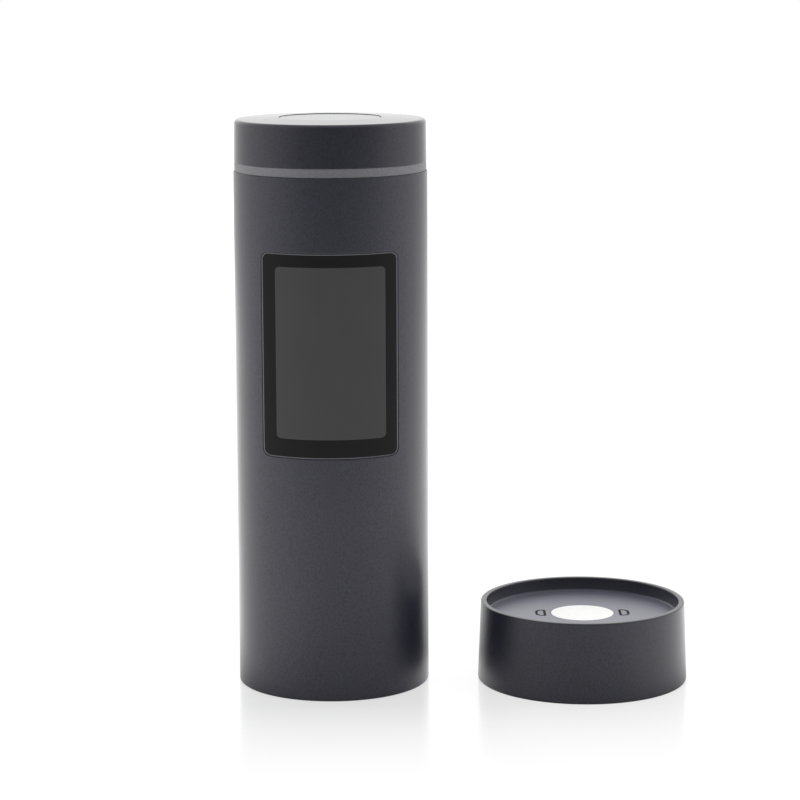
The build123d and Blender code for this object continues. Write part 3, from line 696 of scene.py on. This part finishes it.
def build_membrane():
    """Silicone cone that lifts the key: its section carried round the axis, a short foot and a thin wall
    that leans in to the key's flange."""
    foot, low, high = membrane_high[0], membrane_low[2], membrane_high[2]
    inner, top = foot - membrane_foot, foot - membrane_lean
    return piece_from("return_cone", [revolved(rounded([
        (inner, low, small_edge), (foot, low, small_edge), (foot, low + membrane_wall, small_edge),
        (top, high, small_edge), (top - membrane_wall, high, small_edge),
        (inner, low + membrane_wall, small_edge)]))])


finish_piece(build_ring(), "meter", "ring_metal", ring_metal, "trim_ring")
finish_piece(build_top(), "meter", "cap_plastic", cap_paint, "top_cap")
finish_piece(build_button(), "measure_button", "button_plastic", cap_paint, "measure_button")
return_cone = build_membrane()
finish_piece(return_cone, "meter", "silicone", silicone, "return_membrane")
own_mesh(return_cone)


# Calibration cap

def build_shell():
    """Cap body: its section carried round the cap's middle, a tapered side, a rim, a recess with a
    filleted floor, and the tile's mouth."""
    mouth = tile_radius + tile_gap
    step = (cap_plate_high[0] - cap_plate_low[0]) / 2 + plate_gap
    plate_top = cap_plate_high[2]
    under = recess_level - cap_floor
    inner = cap_rim_radius - cap_wall
    return piece_from("cap_body", [revolved(rounded([
        (step, 0, small_edge), (cap_foot_radius, 0, foot_round),
        (cap_rim_radius, cap_height, cap_rim_edge), (recess_radius, cap_height, cap_rim_edge),
        (recess_radius, recess_level, recess_fillet), (mouth, recess_level, small_edge),
        (mouth, under, small_edge), (inner, under, small_edge),
        (inner, plate_top, small_edge), (step, plate_top, small_edge)]), cap_middle)])


def build_tile():
    """White tile: its section carried round the cap's middle, a disc flush with the recess's floor and a
    wider foot below it."""
    low, top = tile_low[2], tile_high[2]
    foot_radius = (tile_high[0] - tile_low[0]) / 2
    seat = recess_level - cap_floor
    return piece_from("reference_tile", [revolved(rounded([
        (0, top, 0), (tile_radius, top, tile_edge), (tile_radius, seat, small_edge),
        (foot_radius, seat, small_edge), (foot_radius, low, small_edge), (0, low, 0)], closed=False),
        cap_middle)])


def build_mark(side):
    """Index mark beside the tile: a low line along a closed path with a straight side to the tile and
    two quarter arcs outside, with a flat-topped section."""
    arc_points, side_points = 12, 25
    half_size = np.array([mark_half_width, mark_half_height])
    flat = mark_half_height - mark_round
    reach = 2 * mark_half_width - mark_round
    turns = np.linspace(0, np.pi / 2, arc_points)
    arc = mark_round * np.stack([np.cos(turns), np.sin(turns)], -1) + (reach, flat)
    upper = np.vstack([[(2 * mark_half_width, flat / 2)], arc, [(mark_corner, mark_half_height)]])
    heights = np.linspace(mark_half_height, -mark_half_height, side_points)
    side_line = np.stack([np.zeros(side_points), heights], -1)
    line = np.vstack([upper, side_line, upper[::-1] * (1, -1)])
    middle = np.array([mark_half_width, 0.0])
    line = (line - middle) * (half_size - mark_line / 2) / half_size + (mark_offset, 0)
    ahead = np.roll(line, -1, axis=0) - np.roll(line, 1, axis=0)
    across = np.stack([ahead[:, 1], -ahead[:, 0]], -1) / np.linalg.norm(ahead, axis=1)[:, None]
    section = [(-0.5, -mark_rise), (-0.5, mark_shoulder), (-0.4, mark_rise),
               (0.4, mark_rise), (0.5, mark_shoulder), (0.5, -mark_rise), (-0.5, -mark_rise)]
    loops = []
    for share, height in section:
        place = (line + across * share * mark_line) * (side, 1) + cap_middle
        loops.append(np.column_stack([place, np.full(len(line), recess_level + height)]))
    return piece_from(f"index_mark_{'left' if side < 0 else 'right'}", [closed_rows(loops)])


finish_piece(build_shell(), "calibration_cap", "cap_shell_plastic", shell_plastic, "cap_shell")
finish_piece(build_tile(), "calibration_cap", "white_ceramic", tile_ceramic, "white_tile")

for side in (-1, 1):
    mark = build_mark(side)
    mark.data.materials.append(mark_ink)
    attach(mark, "calibration_cap")


# Floor

# What the camera sees: the board's colour and gloss, its glow with the gloss and without it, how far in
# front the gloss has faded, and how far to the right it has fallen to a share of itself
floor_half = 3000
floor_colour = "#7c7c7c"
floor_roughness = 0.16
floor_gloss = 0.33
floor_glow = (0.62, 0.8)
floor_fade = (19, 70)
fade_power = 1.7
dull_range = (15, 37)
dull_share = 0.6

# What lights the object: the board's tone and its glow from the camera's side to the object, the glow's
# share close to the pair, its fall far away, and the patch between barrel and cap
floor_reach = (460, 160)
floor_tones = ("#202020", "#e6e6e6")
floor_lift = 0.78
clear_range = (20, 130)
clear_share = 0.08
fall_range = (300, 800)
fall_share = 0.1
pair_middle, pair_half = 22, 30
pair_side, pair_stretch = 250, 4
gap_middle = 21.5
gap_range = (3, 20)
gap_glow = 0.62


def build_floor():
    """Pale glossy board under the object. The camera sees it as open white with the object's own soft
    reflection. As light for the object it glows: little close to the pair, fully further out, less again
    far away and towards the camera, with a small bright patch between the barrel and the cap."""
    half = floor_half * MM
    mesh = bpy.data.meshes.new("floor")
    corners = [(-half, -half, 0), (half, -half, 0), (half, half, 0), (-half, half, 0)]
    mesh.from_pydata(corners, [], [(0, 1, 2, 3)])
    floor = bpy.data.objects.new("floor", mesh)
    bpy.context.scene.collection.objects.link(floor)
    material, tree, output, place = started("white_acrylic_board")
    parts = add(tree, "ShaderNodeSeparateXYZ", {"Vector": place})
    right, behind = parts.outputs["X"], parts.outputs["Y"]

    def board(gloss, glow):
        """The board as the camera sees it, with a share of gloss and a glow that evens out its level."""
        face = add(tree, "ShaderNodeBsdfPrincipled", {
            "Base Color": linear(floor_colour), "Roughness": floor_roughness, "IOR": 1.49,
            "Specular IOR Level": gloss})
        light = add(tree, "ShaderNodeEmission", {"Color": (1, 1, 1, 1), "Strength": glow})
        return add(tree, "ShaderNodeAddShader", {0: face.outputs[0], 1: light.outputs[0]}).outputs[0]

    close = ramp(tree, behind, -floor_fade[1] * MM, -floor_fade[0] * MM)
    duller = ramp(tree, right, dull_range[0] * MM, dull_range[1] * MM, 1.0, dull_share)
    shine = maths(tree, "MULTIPLY", maths(tree, "POWER", close, fade_power), duller)
    shown = add(tree, "ShaderNodeMixShader", {
        0: shine, 1: board(0.0, floor_glow[1]), 2: board(floor_gloss, floor_glow[0])})

    near = ramp(tree, behind, -floor_reach[0] * MM, -floor_reach[1] * MM, curve="SMOOTHSTEP")
    tone = mixed(tree, near, linear(floor_tones[0]), linear(floor_tones[1]))
    spread = add(tree, "ShaderNodeBsdfDiffuse", {"Color": tone})
    aside = maths(tree, "ABSOLUTE", maths(tree, "ADD", right, -pair_middle * MM))
    beside = ramp(tree, aside, pair_half * MM, (pair_half + pair_side) * MM,
                  0.0, pair_side * pair_stretch * MM)
    across = add(tree, "ShaderNodeCombineXYZ", {"X": beside, "Y": behind}).outputs[0]
    clear = ramp(tree, vector_maths(tree, "LENGTH", across), clear_range[0] * MM, clear_range[1] * MM,
                 clear_share, 1.0, "SMOOTHSTEP")
    fall = ramp(tree, vector_maths(tree, "LENGTH", place), fall_range[0] * MM, fall_range[1] * MM,
                floor_lift, floor_lift * fall_share, "SMOOTHSTEP")
    gap_away = vector_maths(tree, "DISTANCE", place, (gap_middle * MM, 0, 0))
    gap = ramp(tree, gap_away, gap_range[0] * MM, gap_range[1] * MM, gap_glow, 0.0, "SMOOTHSTEP")
    level = maths(tree, "MULTIPLY", near, maths(tree, "MULTIPLY_ADD", clear, fall, gap))
    lift = add(tree, "ShaderNodeEmission", {"Color": (1, 1, 1, 1), "Strength": level})
    lit = add(tree, "ShaderNodeAddShader", {0: spread.outputs[0], 1: lift.outputs[0]})

    path = add(tree, "ShaderNodeLightPath")
    seen = add(tree, "ShaderNodeMixShader", {
        0: path.outputs["Is Camera Ray"], 1: lit.outputs[0], 2: shown.outputs[0]})
    tree.links.new(seen.outputs[0], output.inputs["Surface"])
    mesh.materials.append(material)


# Light from the studio. Each range is in the Y or the Z of the direction that the light comes from: the
# dim front and the sides, with the front's lean to the right, the back, the ceiling, and the foot and
# the head of a panel high up behind
front_light, side_light = 0.27, 1.35
front_range = (-0.98, -0.43)
front_lean = 0.25
back_light = (1.12, 1.4)
back_rise = (0.05, 0.3)
back_range = (0.4, 0.95)
ceiling_light = 1.1
ceiling_range = (0.4, 0.85)
panel_light = 1.2
panel_foot = (0.42, 0.52)
panel_head = (0.7, 0.85)


def build_world():
    """White studio: full white to the camera. As light it is dim where the camera stands and a little
    further round on the right, brightest at the sides, white behind with a panel high up, and even
    above."""
    world = bpy.data.worlds.new("studio")
    world.use_nodes = True
    bpy.context.scene.world = world
    tree = world.node_tree
    tree.nodes.clear()
    output = add(tree, "ShaderNodeOutputWorld")
    direction = add(tree, "ShaderNodeTexCoord").outputs["Generated"]
    way = add(tree, "ShaderNodeSeparateXYZ", {"Vector": direction})
    right, behind, above = way.outputs["X"], way.outputs["Y"], way.outputs["Z"]
    leaning = maths(tree, "MULTIPLY_ADD", maths(tree, "MAXIMUM", right, 0.0), -front_lean, behind)
    front = ramp(tree, leaning, *front_range, front_light, side_light, "SMOOTHSTEP")
    back = ramp(tree, above, *back_rise, *back_light, "SMOOTHSTEP")
    turned = ramp(tree, behind, *back_range, curve="SMOOTHSTEP")
    high = ramp(tree, above, *ceiling_range, curve="SMOOTHSTEP")
    level = mixed(tree, high, mixed(tree, turned, front, back, "FLOAT"), ceiling_light, "FLOAT")
    foot = ramp(tree, above, *panel_foot, curve="SMOOTHSTEP")
    head = ramp(tree, above, *panel_head, panel_light, 0.0, "SMOOTHSTEP")
    whole = maths(tree, "MULTIPLY_ADD", maths(tree, "MULTIPLY", foot, head), turned, level)
    light = add(tree, "ShaderNodeBackground", {"Color": (1, 1, 1, 1), "Strength": whole})
    white = add(tree, "ShaderNodeBackground", {"Color": (1, 1, 1, 1), "Strength": 1.0})
    path = add(tree, "ShaderNodeLightPath")
    seen = add(tree, "ShaderNodeMixShader", {
        0: path.outputs["Is Camera Ray"], 1: light.outputs[0], 2: white.outputs[0]})
    tree.links.new(seen.outputs[0], output.inputs["Surface"])


def build_camera():
    """Camera of the photograph, from its place, its pitch, turn and roll, and its focal length."""
    ahead = np.array([
        math.sin(camera_turn) * math.cos(camera_down), math.cos(camera_turn) * math.cos(camera_down),
        -math.sin(camera_down)])
    right = np.array([math.cos(camera_turn), -math.sin(camera_turn), 0.0])
    up = np.cross(right, ahead)
    rolled_right = math.cos(camera_roll) * right + math.sin(camera_roll) * up
    rolled_up = math.cos(camera_roll) * up - math.sin(camera_roll) * right
    lens = bpy.data.cameras.new("camera")
    lens.sensor_width = sensor_width
    lens.lens = focal_pixels * sensor_width / picture_width
    lens.clip_start, lens.clip_end = 0.01, 20.0
    camera = bpy.data.objects.new("camera", lens)
    turned = Matrix((rolled_right, rolled_up, -ahead)).transposed().to_4x4()
    turned.translation = Vector(camera_place) * MM
    camera.matrix_world = turned
    bpy.context.scene.collection.objects.link(camera)
    bpy.context.scene.camera = camera


build_floor()
build_world()
build_camera()
bpy.context.scene.view_settings.view_transform = "Standard"
